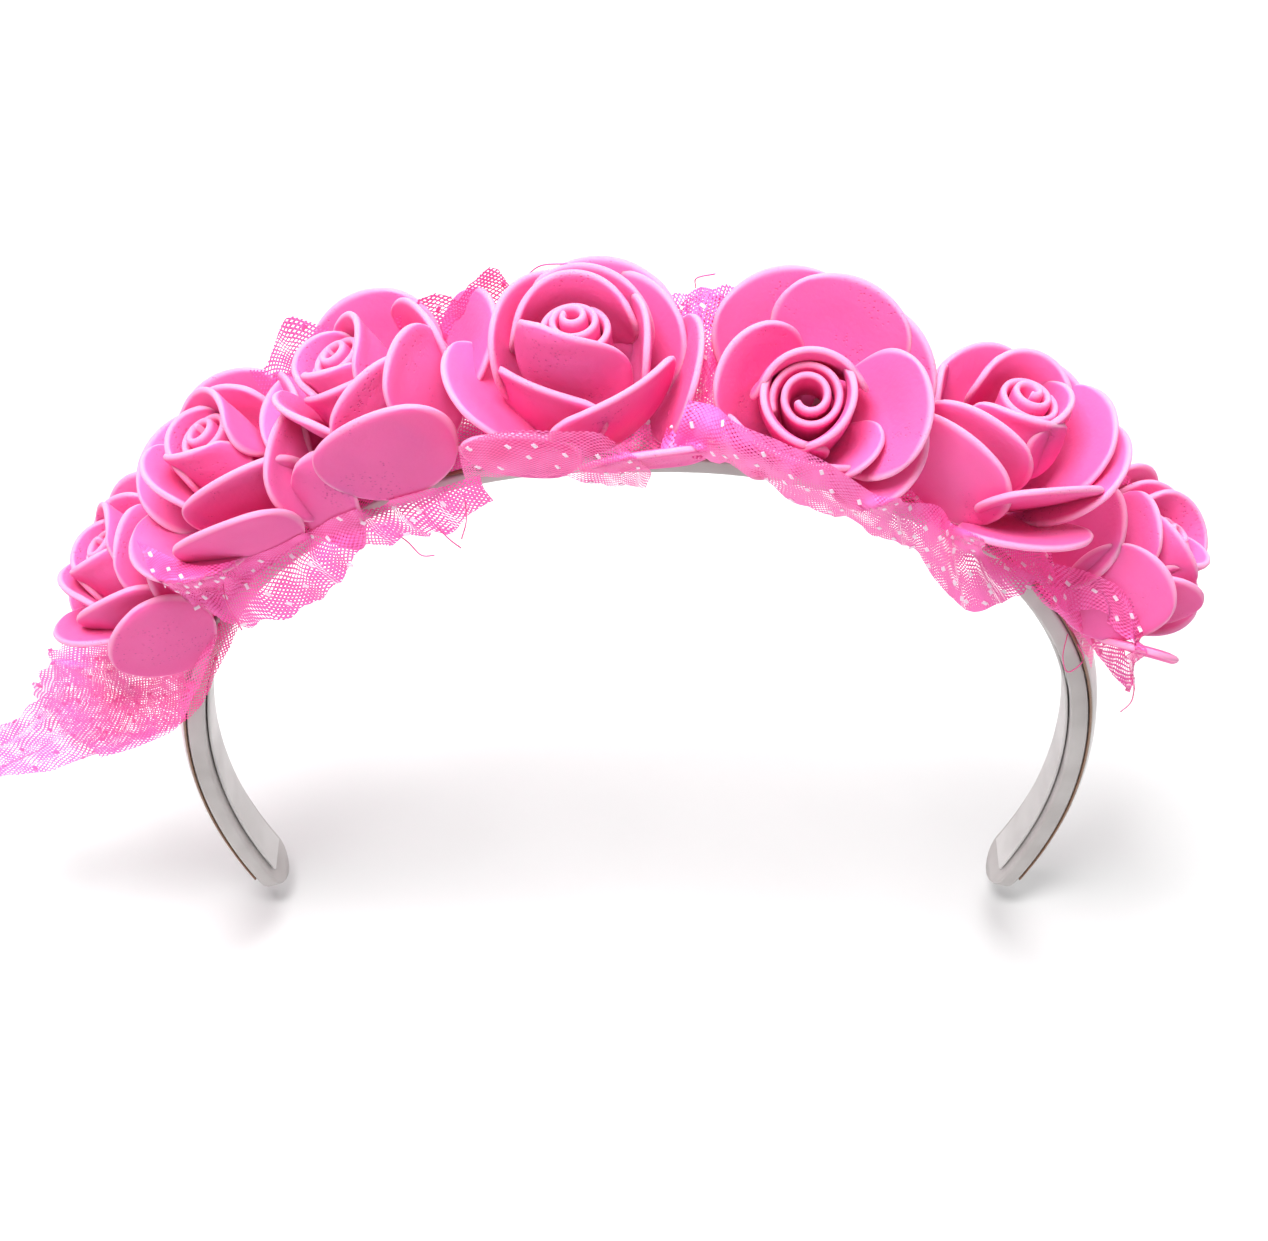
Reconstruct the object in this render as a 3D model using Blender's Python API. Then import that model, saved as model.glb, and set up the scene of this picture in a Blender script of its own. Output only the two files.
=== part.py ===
"""Flower crown: a moulded headband with seven foam roses glued over a gathered strip of dotted net.

Frame: metres, +Z up. The origin is on the inner face of the band at the middle of its crown,
so the arms hang down from it. +X runs to the wearer's left arm and -Y to the front of the crown.
Every layer of the band is a sweep along one arch, at its own distance out from the inner face.
"""
import math

import bmesh
import bpy
from mathutils import Matrix, Vector

MM = 0.001

# ---- arch of the inner face, from the crown down one arm ----
CROWN_FLAT = 10.0 * MM            # length of the flat at the crown
CROWN_RADIUS = 70.0 * MM
CROWN_SWEEP = 26.0                # degrees
SHOULDER_RADIUS = 71.2 * MM
SHOULDER_SWEEP = 56.0
ARM_RADIUS = 105.0 * MM
ARM_SWEEP = 32.0
CROWN_STEPS = 4
SHOULDER_STEPS = 9
ARM_STEPS = 5

# ---- band section ----
GAP = 0.3 * MM                    # clearance between pieces that rest on each other
BAND_WIDTH = 10.5 * MM
CORE_THICK = 3.1 * MM
LINING_THICK = 0.5 * MM
LINING_INSET = 1.75 * MM          # from each edge of the band
STRIP_THICK = 1.8 * MM            # at the middle of its dome
STRIP_EDGE = 0.9 * MM             # at its two edges
STRIP_INSET = 0.75 * MM
SEAM_THICK = 0.5 * MM
TIP_ROUND = 5.0 * MM              # length over which an arm's tip is rounded
TIP_MARGIN = 1.0 * MM             # the strip and the lining stop this far before the rounding

# ---- net strip ----
NET_THICK = 0.6 * MM
NET_OVERHANG = 1.05 * MM          # it lies flat this far past each edge of the band
NET_FRONT = 3.5 * MM              # reach of the front frill past that
NET_BACK = 6.2 * MM
NET_DROP = 3.5 * MM               # how far the front frill falls below the outer face
NET_PUFF = 6.0 * MM               # how far the back frill stands up between two roses
NET_DRAPE = 6.0 * MM              # extra reach of the frill under roses 5 and 6
NET_DRAPE_LEFT = 5.0 * MM         # and between roses 1 and 2
NET_PAST_LEFT = 12.0 * MM         # from the last rose's stem to where the strip leaves the arm
NET_PAST_RIGHT = 17.5 * MM
LEFT_TURN = 52.0                  # degrees that the left tail turns away from the arm
LEFT_TURN_RADIUS = 12.0 * MM
LEFT_TAIL = 48.0 * MM             # straight length after the turn
RIGHT_TURN = 45.0
RIGHT_TURN_RADIUS = 9.0 * MM
RIGHT_TAIL = 8.0 * MM

# ---- roses, from the bud outwards ----
PETAL_THICK = 1.3 * MM
PETAL_GAP = 0.35 * MM             # half the space between two petals where they overlap
BUD_THICK = 1.0 * MM
BUD_GAP = 0.35 * MM               # between the turns of the rolled bud
BUD_TURNS = 2.25
BUD_INNER = 1.5 * MM
INNER_ROOM = 2.5 * MM             # from the bud to the inner petals
MIDDLE_ROOM = 0.3 * MM
OUTER_ROOM = 0.2 * MM
OUTER_RIM = 12.0 * MM             # heights of the rims and of the bud above the rose's base plane
MIDDLE_RIM = 16.0 * MM
INNER_RIM = 18.5 * MM
ROSE_HEIGHT = 21.5 * MM
LEVEL_GAP = 0.7 * MM              # between the discs that hold the petals
STEM_RADIUS = 0.9 * MM
BORE_GAP = 0.4 * MM               # around the stem
PAD_RADIUS = 4.8 * MM
PAD_DEPTH = 7.0 * MM
ROSE_CLEAR = 2.0 * MM             # between the rims of neighbouring roses
SEAT_LIFT = 0.6 * MM              # least height of a rose's base plane over its seat
BASE_REACH = 11.0 * MM            # radius of the part of the outer petals that lies low
FOURTH_ROSE = -5.0 * MM           # place of rose 4 along the inner face, from the crown

# Each rose: space before it beyond the closest pitch, lean along the band and lean to the front
# in degrees, and turn about its own stem.
ROSES = (
    (0.0, 10.0, -8.0, 10.0),
    (0.0, 6.0, -8.0, 40.0),
    (1.0 * MM, -2.0, -6.0, 25.0),
    (0.6 * MM, -4.0, 0.0, 55.0),
    (2.0 * MM, -10.0, 26.0, 15.0),
    (1.5 * MM, -12.0, -6.0, 30.0),
    (1.8 * MM, -8.0, -6.0, 5.0),
)

# ---- distances out from the inner face, worked out from the above ----
CORE_IN = LINING_THICK + GAP
CORE_OUT = CORE_IN + CORE_THICK
STRIP_IN = CORE_OUT + GAP
STRIP_OUT = STRIP_IN + STRIP_THICK
NET_MIDDLE = STRIP_OUT + GAP + NET_THICK / 2
NET_OUT = NET_MIDDLE + NET_THICK / 2
ROSE_SEAT = NET_OUT + GAP
NET_FLAT = BAND_WIDTH / 2 + NET_OVERHANG

# ---- radii and heights about a rose's stem ----
PETAL_TUCK = PETAL_THICK / 2 + PETAL_GAP
WHORL_HALF = PETAL_TUCK + PETAL_THICK / 2
BUD_OUTER = BUD_INNER + BUD_TURNS * (BUD_THICK + BUD_GAP) + BUD_THICK / 2
INNER_RADIUS = BUD_OUTER + WHORL_HALF + INNER_ROOM
MIDDLE_RADIUS = INNER_RADIUS + 2 * WHORL_HALF + MIDDLE_ROOM
ROSE_RADIUS = MIDDLE_RADIUS + 2 * WHORL_HALF + OUTER_ROOM
HUB_THICK = PETAL_THICK + 0.5 * MM
BORE_RADIUS = STEM_RADIUS + BORE_GAP
HUB_START = BORE_RADIUS + 1.0 * MM
OUTER_LEVEL = 1.5 * MM + HUB_THICK / 2
MIDDLE_LEVEL = OUTER_LEVEL + HUB_THICK + LEVEL_GAP
INNER_LEVEL = MIDDLE_LEVEL + HUB_THICK + LEVEL_GAP
BUD_BOTTOM = INNER_LEVEL + HUB_THICK / 2 + 3.0 * MM

# The roses fan out with the arch, so their pitch on the inner face is less than at their rims.
ROSE_PITCH = (2 * ROSE_RADIUS + ROSE_CLEAR) / (1.0 + (ROSE_SEAT + OUTER_RIM) / SHOULDER_RADIUS)


def clear_scene():
    for obj in list(bpy.data.objects):
        bpy.data.objects.remove(obj, do_unlink=True)


def material(name, colour, roughness, metallic=0.0):
    made = bpy.data.materials.new(name)
    made.use_nodes = True
    shader = made.node_tree.nodes["Principled BSDF"]
    shader.inputs["Base Color"].default_value = (*colour, 1.0)
    shader.inputs["Roughness"].default_value = roughness
    shader.inputs["Metallic"].default_value = metallic
    made.diffuse_color = (*colour, 1.0)
    return made


def new_object(name, bm, finish, smooth=True, helper=False):
    """An object from bm, which is freed."""
    bmesh.ops.recalc_face_normals(bm, faces=bm.faces)
    mesh = bpy.data.meshes.new(name)
    bm.to_mesh(mesh)
    bm.free()
    return place(name, mesh, finish, smooth, helper)


def place(name, mesh, finish, smooth=True, helper=False):
    if smooth:
        mesh.shade_smooth()
        mesh.set_sharp_from_angle(angle=math.radians(35))
    obj = bpy.data.objects.new(name, mesh)
    bpy.context.scene.collection.objects.link(obj)
    if finish and not mesh.materials:
        mesh.materials.append(finish)
    if helper:
        obj.hide_render = True
        obj.display_type = "WIRE"
    return obj


# ---- the arch ----

def arc_list():
    return (
        (CROWN_RADIUS, math.radians(CROWN_SWEEP), CROWN_STEPS),
        (SHOULDER_RADIUS, math.radians(SHOULDER_SWEEP), SHOULDER_STEPS),
        (ARM_RADIUS, math.radians(ARM_SWEEP), ARM_STEPS),
    )


ARM_LENGTH = CROWN_FLAT / 2 + sum(radius * sweep for radius, sweep, _ in arc_list())


def arch(along, out):
    """(x, z, angle) at a distance along the inner face from the crown and out from it."""
    side = 1.0 if along >= 0 else -1.0
    rest = abs(along)
    step = min(rest, CROWN_FLAT / 2)
    x, z, angle = step, 0.0, 0.0
    rest -= step
    for radius, sweep, _ in arc_list():
        turn = min(rest, radius * sweep) / radius
        x += radius * (math.sin(angle + turn) - math.sin(angle))
        z -= radius * (math.cos(angle) - math.cos(angle + turn))
        angle += turn
        rest -= turn * radius
    return side * (x + out * math.sin(angle)), z + out * math.cos(angle), side * angle


def arm_stations():
    """Distances from the crown at which every layer has its section, for one arm."""
    found = [CROWN_FLAT / 2]
    for radius, sweep, steps in arc_list():
        found += [found[-1] + radius * sweep / steps * (k + 1) for k in range(steps)]
    return found


def stations_to(left, right):
    """The shared stations between two ends, with the ends added."""
    both = [-s for s in reversed(arm_stations())] + arm_stations()
    inside = [s for s in both if -left + 1.5 * MM < s < right - 1.5 * MM]
    return [-left] + inside + [right]


def swept(name, stations, section, finish):
    """A closed bar: section(along) gives its outline as (y, out) pairs."""
    bm = bmesh.new()
    rings = []
    for along in stations:
        ring = []
        for y, out in section(along):
            x, z, _ = arch(along, out)
            ring.append(bm.verts.new((x, y, z)))
        rings.append(ring)
    for first, second in zip(rings, rings[1:]):
        for k in range(len(first)):
            after = (k + 1) % len(first)
            bm.faces.new((first[k], first[after], second[after], second[k]))
    bm.faces.new(rings[0])
    bm.faces.new(rings[-1][::-1])
    return new_object(name, bm, finish)


# ---- band ----

def tip_width(along):
    """1 along the arm, falling as a quarter circle over its rounded tip."""
    left = max(0.0, ARM_LENGTH - abs(along))
    if left >= TIP_ROUND:
        return 1.0
    return 0.35 + 0.65 * math.sqrt(1.0 - (1.0 - left / TIP_ROUND) ** 2)


def core_section(along):
    half = BAND_WIDTH / 2 * tip_width(along)
    round_off = 0.8 * MM
    return (
        (-half + round_off, CORE_IN),
        (half - round_off, CORE_IN),
        (half, CORE_IN + round_off),
        (half, CORE_OUT - round_off),
        (half - round_off / 2, CORE_OUT),
        (-half + round_off / 2, CORE_OUT),
        (-half, CORE_OUT - round_off),
        (-half, CORE_IN + round_off),
    )


def lining_section(along):
    half = BAND_WIDTH / 2 - LINING_INSET
    return (-half, 0.0), (half, 0.0), (half, LINING_THICK), (-half, LINING_THICK)


def strip_section(along):
    half = BAND_WIDTH / 2 - STRIP_INSET
    edge = STRIP_IN + STRIP_EDGE
    return (
        (-half, STRIP_IN),
        (half, STRIP_IN),
        (half, edge),
        (half * 0.66, edge + (STRIP_THICK - STRIP_EDGE) * 0.7),
        (0.0, STRIP_OUT),
        (-half * 0.66, edge + (STRIP_THICK - STRIP_EDGE) * 0.7),
        (-half, edge),
    )


def seam_section(side):
    """A bead of glue in the step between the strip's side and the edge of the core."""
    outer = BAND_WIDTH / 2
    inner = outer - STRIP_INSET + GAP

    def section(along):
        corners = ((inner, STRIP_IN), (outer, STRIP_IN), (inner, STRIP_IN + SEAM_THICK))
        return tuple((side * y, out) for y, out in corners)

    return section


def build_band(white, lining, glue):
    tip_steps = [TIP_ROUND * f for f in (1.0, 0.6, 0.3, 0.1)]
    arms = [s for s in stations_to(ARM_LENGTH, ARM_LENGTH) if abs(s) < ARM_LENGTH - TIP_ROUND - 1.5 * MM]
    ends = [ARM_LENGTH - step for step in tip_steps] + [ARM_LENGTH]
    core = [-s for s in reversed(ends)] + arms + ends
    swept("band_core", core, core_section, white)
    short = ARM_LENGTH - TIP_ROUND - TIP_MARGIN
    swept("outer_strip", stations_to(short, short), strip_section, white)
    swept("inner_lining", stations_to(short, short), lining_section, lining)
    swept("glue_seam_front", stations_to(short, short), seam_section(-1.0), glue)
    swept("glue_seam_back", stations_to(short, short), seam_section(1.0), glue)


# ---- net strip ----

def bump(along, centre, width):
    return math.exp(-((along - centre) / width) ** 2)


def rose_places():
    """Each rose's distance from the crown along the inner face."""
    places = [0.0]
    for extra, _, _, _ in ROSES[1:]:
        places.append(places[-1] + ROSE_PITCH + extra)
    return [place - places[3] + FOURTH_ROSE for place in places]


def net_section(along):
    """Middle line of the net across the band, front frill to back frill, as (y, out) pairs."""
    places = rose_places()
    between = [(a + b) / 2 for a, b in zip(places, places[1:])]
    drape = NET_DRAPE * bump(along, between[4] + 10.0 * MM, 14.0 * MM)
    drape += NET_DRAPE_LEFT * bump(along, between[0], 12.0 * MM)
    puff = sum(bump(along, place, 5.0 * MM) for place in between)
    front = NET_FLAT + NET_FRONT + drape + 0.8 * MM * math.sin(along / (4.3 * MM))
    back = NET_FLAT + NET_BACK + 0.7 * MM * math.sin(along / (3.1 * MM) + 1.0)
    return (
        (-front, NET_MIDDLE - NET_DROP),
        (-(front + NET_FLAT) / 2, NET_MIDDLE - NET_DROP * 0.45),
        (-NET_FLAT, NET_MIDDLE),
        (0.0, NET_MIDDLE),
        (NET_FLAT, NET_MIDDLE),
        ((back + NET_FLAT) / 2, NET_MIDDLE - 0.8 * MM + NET_PUFF * 0.35 * puff),
        (back, NET_MIDDLE - 2.0 * MM + NET_PUFF * puff),
    )


def tail_rows(end, side, turn, radius, length, widths):
    """Rows of the net past the point where it leaves an arm: a turn outwards, then straight."""
    x, z, angle = arch(side * end, NET_MIDDLE)
    travel = Vector((math.cos(angle) * side, 0.0, -math.sin(angle) * side))
    out = Vector((math.sin(angle), 0.0, math.cos(angle)))
    here = Vector((x, 0.0, z))
    centre = here + out * radius
    rows = []
    start = net_section(side * end)
    turn_steps = 4
    total = turn_steps + len(widths)
    for step in range(1, total + 1):
        if step <= turn_steps:
            bend = math.radians(turn) * step / turn_steps
            point = centre - out * radius * math.cos(bend) + travel * radius * math.sin(bend)
            normal = out * math.cos(bend) - travel * math.sin(bend)
            wide = 1.0
        else:
            bend = math.radians(turn)
            heading = travel * math.cos(bend) + out * math.sin(bend)
            done = (step - turn_steps) / len(widths)
            point = centre - out * radius * math.cos(bend) + travel * radius * math.sin(bend)
            point = point + heading * length * done
            normal = out * math.cos(bend) - travel * math.sin(bend)
            wide = widths[step - turn_steps - 1]
        share = min(1.0, step / turn_steps)
        row = []
        for k, (y, level) in enumerate(start):
            fold = 0.8 * MM * (1.0 if k % 2 else -1.0) * share
            level = (level - NET_MIDDLE) * (1.0 - share) + fold
            row.append(point + normal * level + Vector((0.0, y * wide, 0.0)))
        rows.append(row)
    return rows


def build_net(net):
    bm = bmesh.new()
    rows = []
    places = rose_places()
    left_end = NET_PAST_LEFT - places[0]
    right_end = NET_PAST_RIGHT + places[-1]
    for along in stations_to(left_end, right_end):
        row = []
        for y, out in net_section(along):
            x, z, _ = arch(along, out)
            row.append(Vector((x, y, z)))
        rows.append(row)
    left = tail_rows(left_end, -1.0, LEFT_TURN, LEFT_TURN_RADIUS, LEFT_TAIL,
                     (0.98, 0.95, 0.92, 0.9, 0.85))
    right = tail_rows(right_end, 1.0, RIGHT_TURN, RIGHT_TURN_RADIUS, RIGHT_TAIL, (0.6, 0.15))
    rows = left[::-1] + rows + right
    grid = [[bm.verts.new(point) for point in row] for row in rows]
    for first, second in zip(grid, grid[1:]):
        for k in range(len(first) - 1):
            bm.faces.new((first[k], first[k + 1], second[k + 1], second[k]))
    strip = new_object("tulle_strip", bm, net)
    solid = strip.modifiers.new("thickness", "SOLIDIFY")
    solid.thickness = NET_THICK
    solid.offset = 0.0
    solid.use_even_offset = True


# ---- roses ----

def smooth_step(value, low, high):
    share = min(1.0, max(0.0, (value - low) / (high - low)))
    return share * share * (3.0 - 2.0 * share)


def whorl_mesh(name, count, start, knee, rim, finish, rows=3, columns=4):
    """The middle surfaces of a ring of overlapping petals on a bowl-shaped profile.

    start, knee and rim are (radius, height) points of the profile curve.
    """
    bm = bmesh.new()
    pitch = 2 * math.pi / count
    for petal in range(count):
        grid = []
        for i in range(rows + 1):
            v = i / rows
            half = pitch * (0.40 + 0.20 * smooth_step(v, 0.15, 0.6))
            line = []
            for j in range(columns + 1):
                u = 2.0 * j / columns - 1.0
                t = v * (1.0 - 0.17 * u * u)
                radius = (1 - t) ** 2 * start[0] + 2 * t * (1 - t) * knee[0] + t * t * rim[0]
                height = (1 - t) ** 2 * start[1] + 2 * t * (1 - t) * knee[1] + t * t * rim[1]
                run = 2 * (1 - t) * (knee[0] - start[0]) + 2 * t * (rim[0] - knee[0])
                rise = 2 * (1 - t) * (knee[1] - start[1]) + 2 * t * (rim[1] - knee[1])
                size = math.hypot(run, rise)
                tuck = PETAL_TUCK * u * smooth_step(v, 0.0, 0.45)
                radius += tuck * rise / size
                height -= tuck * run / size
                angle = petal * pitch + u * half
                line.append(bm.verts.new((radius * math.cos(angle), radius * math.sin(angle), height)))
            grid.append(line)
        for first, second in zip(grid, grid[1:]):
            for k in range(columns):
                bm.faces.new((first[k], first[k + 1], second[k + 1], second[k]))
    mesh = bpy.data.meshes.new(name)
    bmesh.ops.recalc_face_normals(bm, faces=bm.faces)
    bm.to_mesh(mesh)
    bm.free()
    mesh.materials.append(finish)
    return mesh


def hub_object(name, radius, level):
    """A bored disc at the bottom of a whorl, joined to its petals by the Boolean."""
    bm = bmesh.new()
    sides = 12
    rings = []
    for r, z in ((BORE_RADIUS, -1), (radius, -1), (radius, 1), (BORE_RADIUS, 1)):
        rings.append([bm.verts.new((r * math.cos(2 * math.pi * k / sides),
                                    r * math.sin(2 * math.pi * k / sides),
                                    level + z * HUB_THICK / 2)) for k in range(sides)])
    for first, second in zip(rings, rings[1:] + rings[:1]):
        for k in range(sides):
            after = (k + 1) % sides
            bm.faces.new((first[k], first[after], second[after], second[k]))
    return new_object(name, bm, None, helper=True)


def bud_mesh(finish):
    """A strip rolled into a spiral that climbs to its middle."""
    bm = bmesh.new()
    steps = 24
    rows = []
    for k in range(steps + 1):
        share = k / steps
        angle = 2 * math.pi * BUD_TURNS * share
        radius = BUD_INNER + (BUD_OUTER - BUD_THICK / 2 - BUD_INNER) * share
        top = ROSE_HEIGHT - 4.0 * MM * share
        point = (radius * math.cos(angle), radius * math.sin(angle))
        rows.append([bm.verts.new((*point, BUD_BOTTOM)), bm.verts.new((*point, top))])
    for first, second in zip(rows, rows[1:]):
        bm.faces.new((first[0], second[0], second[1], first[1]))
    mesh = bpy.data.meshes.new("rolled_bud")
    bmesh.ops.recalc_face_normals(bm, faces=bm.faces)
    bm.to_mesh(mesh)
    bm.free()
    mesh.materials.append(finish)
    return mesh


def cylinder_mesh(name, radius, low, high, sides, finish):
    bm = bmesh.new()
    bmesh.ops.create_cone(bm, cap_ends=True, segments=sides, radius1=radius, radius2=radius,
                          depth=high - low, matrix=Matrix.Translation((0.0, 0.0, (low + high) / 2)))
    mesh = bpy.data.meshes.new(name)
    bm.to_mesh(mesh)
    bm.free()
    mesh.materials.append(finish)
    return mesh


def seat_cutter():
    """Everything that lies inside the seat of the roses, to trim the glue pads to the net."""
    wide = PAD_RADIUS + 6.0 * MM
    deep = ROSE_SEAT - PAD_DEPTH - 6.0 * MM
    section = ((-wide, deep), (wide, deep), (wide, ROSE_SEAT), (-wide, ROSE_SEAT))
    reach = max(abs(place) for place in rose_places()) + 2 * PAD_RADIUS
    cutter = swept("seat_cutter", stations_to(reach, reach), lambda along: section, None)
    cutter.hide_render = True
    cutter.display_type = "WIRE"
    return cutter


def union(obj, other, operation="UNION"):
    joined = obj.modifiers.new("join" if operation == "UNION" else "trim", "BOOLEAN")
    joined.operation = operation
    joined.solver = "EXACT"
    joined.object = other


def thicken(obj, thickness):
    solid = obj.modifiers.new("thickness", "SOLIDIFY")
    solid.thickness = thickness
    solid.offset = 0.0
    solid.use_even_offset = True


def stem_frame(along, side_lean, front_lean, turn):
    """The matrix of a rose: its seat on the net, leaned, then turned about its stem."""
    low_edge = BASE_REACH * math.sin(math.radians(abs(side_lean) + 0.2 * abs(front_lean)))
    x, z, angle = arch(along, ROSE_SEAT + SEAT_LIFT + low_edge)
    lean = math.degrees(angle) + side_lean
    turned = (Matrix.Rotation(math.radians(lean), 4, "Y")
              @ Matrix.Rotation(math.radians(front_lean), 4, "X")
              @ Matrix.Rotation(math.radians(turn), 4, "Z"))
    return Matrix.Translation((x, 0.0, z)) @ turned


def build_roses(outer_foam, middle_foam, inner_foam, bud_foam, stem_plastic, glue):
    outer = whorl_mesh("outer_petals", 5, (HUB_START, OUTER_LEVEL),
                       (ROSE_RADIUS - 1.1 * MM, OUTER_LEVEL - 0.4 * MM), (ROSE_RADIUS, OUTER_RIM), outer_foam)
    middle = whorl_mesh("middle_petals", 3, (HUB_START, MIDDLE_LEVEL),
                        (MIDDLE_RADIUS, MIDDLE_LEVEL), (MIDDLE_RADIUS - 0.4 * MM, MIDDLE_RIM),
                        middle_foam, columns=5)
    inner = whorl_mesh("inner_petals", 3, (HUB_START, INNER_LEVEL),
                       (INNER_RADIUS, INNER_LEVEL + 0.2 * MM), (INNER_RADIUS - 0.5 * MM, INNER_RIM), inner_foam)
    hubs = (hub_object("outer_hub", HUB_START + 3.1 * MM, OUTER_LEVEL),
            hub_object("middle_hub", HUB_START + 2.5 * MM, MIDDLE_LEVEL),
            hub_object("inner_hub", HUB_START + 1.9 * MM, INNER_LEVEL))
    bud = bud_mesh(bud_foam)
    stem = cylinder_mesh("stem", STEM_RADIUS, OUTER_LEVEL - HUB_THICK / 2, INNER_LEVEL + HUB_THICK / 2,
                         8, stem_plastic)
    pad = cylinder_mesh("glue_pad", PAD_RADIUS, -PAD_DEPTH, OUTER_LEVEL - HUB_THICK / 2 - GAP, 12, glue)
    cutter = seat_cutter()
    for number, (along, rose) in enumerate(zip(rose_places(), ROSES), 1):
        centre = bpy.data.objects.new(f"rose_{number}", None)
        bpy.context.scene.collection.objects.link(centre)
        centre.matrix_world = stem_frame(along, *rose[1:])
        pieces = {}
        for piece, mesh in (("outer_petals", outer), ("middle_petals", middle), ("inner_petals", inner),
                            ("bud", bud), ("stem", stem), ("glue_pad", pad)):
            pieces[piece] = place(f"rose_{number}_{piece}", mesh, None)
            pieces[piece].parent = centre
        for piece, hub in zip(("outer_petals", "middle_petals", "inner_petals"), hubs):
            thicken(pieces[piece], PETAL_THICK)
            own_hub = place(f"rose_{number}_{hub.name}", hub.data, None, helper=True)
            own_hub.parent = centre
            union(pieces[piece], own_hub)
        thicken(pieces["bud"], BUD_THICK)
        union(pieces["glue_pad"], cutter, "DIFFERENCE")
    for hub in hubs:
        bpy.data.objects.remove(hub, do_unlink=True)


def main():
    clear_scene()
    white = material("white_plastic", (0.80, 0.79, 0.78), 0.35)
    lining = material("inner_plastic", (0.72, 0.71, 0.70), 0.45)
    seam = material("dried_glue", (0.45, 0.36, 0.28), 0.5)
    build_band(white, lining, seam)
    build_net(material("pink_net", (0.95, 0.25, 0.52), 0.6))
    build_roses(
        material("foam_outer", (0.91, 0.17, 0.42), 0.75),
        material("foam_middle", (0.91, 0.15, 0.40), 0.75),
        material("foam_inner", (0.90, 0.13, 0.38), 0.75),
        material("foam_bud", (0.88, 0.11, 0.36), 0.75),
        material("stem_plastic", (0.20, 0.42, 0.16), 0.5),
        material("clear_glue", (0.86, 0.83, 0.76), 0.4),
    )


main()
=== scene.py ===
"""Looks of the flower crown: foam roses, a gathered strip of dotted net and the moulded band."""
import math

import bmesh
import bpy
import numpy as np
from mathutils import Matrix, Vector
from mathutils.bvhtree import BVHTree


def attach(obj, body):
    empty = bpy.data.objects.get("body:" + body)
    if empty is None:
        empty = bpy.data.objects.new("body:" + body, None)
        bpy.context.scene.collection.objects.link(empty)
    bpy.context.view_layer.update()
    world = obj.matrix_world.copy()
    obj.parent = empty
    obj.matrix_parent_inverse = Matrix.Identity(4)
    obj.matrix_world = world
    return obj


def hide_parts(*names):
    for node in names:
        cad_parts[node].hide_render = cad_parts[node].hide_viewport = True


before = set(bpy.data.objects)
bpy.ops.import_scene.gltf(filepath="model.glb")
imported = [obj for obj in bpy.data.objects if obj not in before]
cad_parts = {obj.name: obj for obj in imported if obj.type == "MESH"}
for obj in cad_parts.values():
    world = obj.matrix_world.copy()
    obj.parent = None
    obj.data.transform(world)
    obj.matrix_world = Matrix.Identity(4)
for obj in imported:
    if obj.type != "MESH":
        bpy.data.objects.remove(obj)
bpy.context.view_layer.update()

MM = 0.001
BODY = "root"
SEED = 7

# ---- shapes: band arch, rose seats, petals (all lengths here in millimetres) ----

# Each arc of one arm: radius and sweep in degrees, after half of the flat at the crown.
ARM_ARCS = ((70.0, 26.0), (71.2, 56.0), (105.0, 32.0))
FLAT = 5.0
ARM = FLAT + sum(radius * math.radians(sweep) for radius, sweep in ARM_ARCS)


def arch(along, out):
    """x, z and slope angle of a point of the band: along the inner face, and out from it."""
    side = 1.0 if along >= 0 else -1.0
    rest = abs(along)
    x = min(rest, FLAT)
    rest -= x
    z = angle = 0.0
    for radius, sweep in ARM_ARCS:
        turn = min(rest / radius, math.radians(sweep))
        x += radius * (math.sin(angle + turn) - math.sin(angle))
        z -= radius * (math.cos(angle) - math.cos(angle + turn))
        angle += turn
        rest -= turn * radius
    return side * (x + out * math.sin(angle)), z + out * math.cos(angle), side * angle


# Rose: place along the band, height of its base over the inner face, and how many degrees it leans
# along the band and to the front.
SEATS = (
    (-85.5, 7.5, 20.0, -6.0),
    (-57.0, 8.0, 8.0, -2.0),
    (-32.5, 9.0, -12.0, -6.0),
    (-7.5, 8.5, -4.0, 0.0),
    (24.2, 9.5, -20.0, 32.0),
    (53.0, 9.5, -24.0, -6.0),
    (82.0, 8.0, -12.0, -6.0),
)


def turned(axis, degrees):
    c, s = math.cos(math.radians(degrees)), math.sin(math.radians(degrees))
    rows = {"X": ((1, 0, 0), (0, c, -s), (0, s, c)), "Y": ((c, 0, s), (0, 1, 0), (-s, 0, c)),
            "Z": ((c, -s, 0), (s, c, 0), (0, 0, 1))}
    return np.array(rows[axis])


def seat_frame(seat):
    """Origin and axes of a rose: X along the band to the right, Y to the back, Z up its stem."""
    along, height, side_lean, front_lean = seat
    x, z, angle = arch(along, height)
    return np.array((x, 0.0, z)), turned("Y", math.degrees(angle) + side_lean) @ turned("X", front_lean)


def ease(value, low, high):
    share = np.clip((value - low) / (high - low), 0.0, 1.0)
    return share * share * (3.0 - 2.0 * share)


RIM_CURL = 0.7  # how far each petal's rim turns outwards


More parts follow.
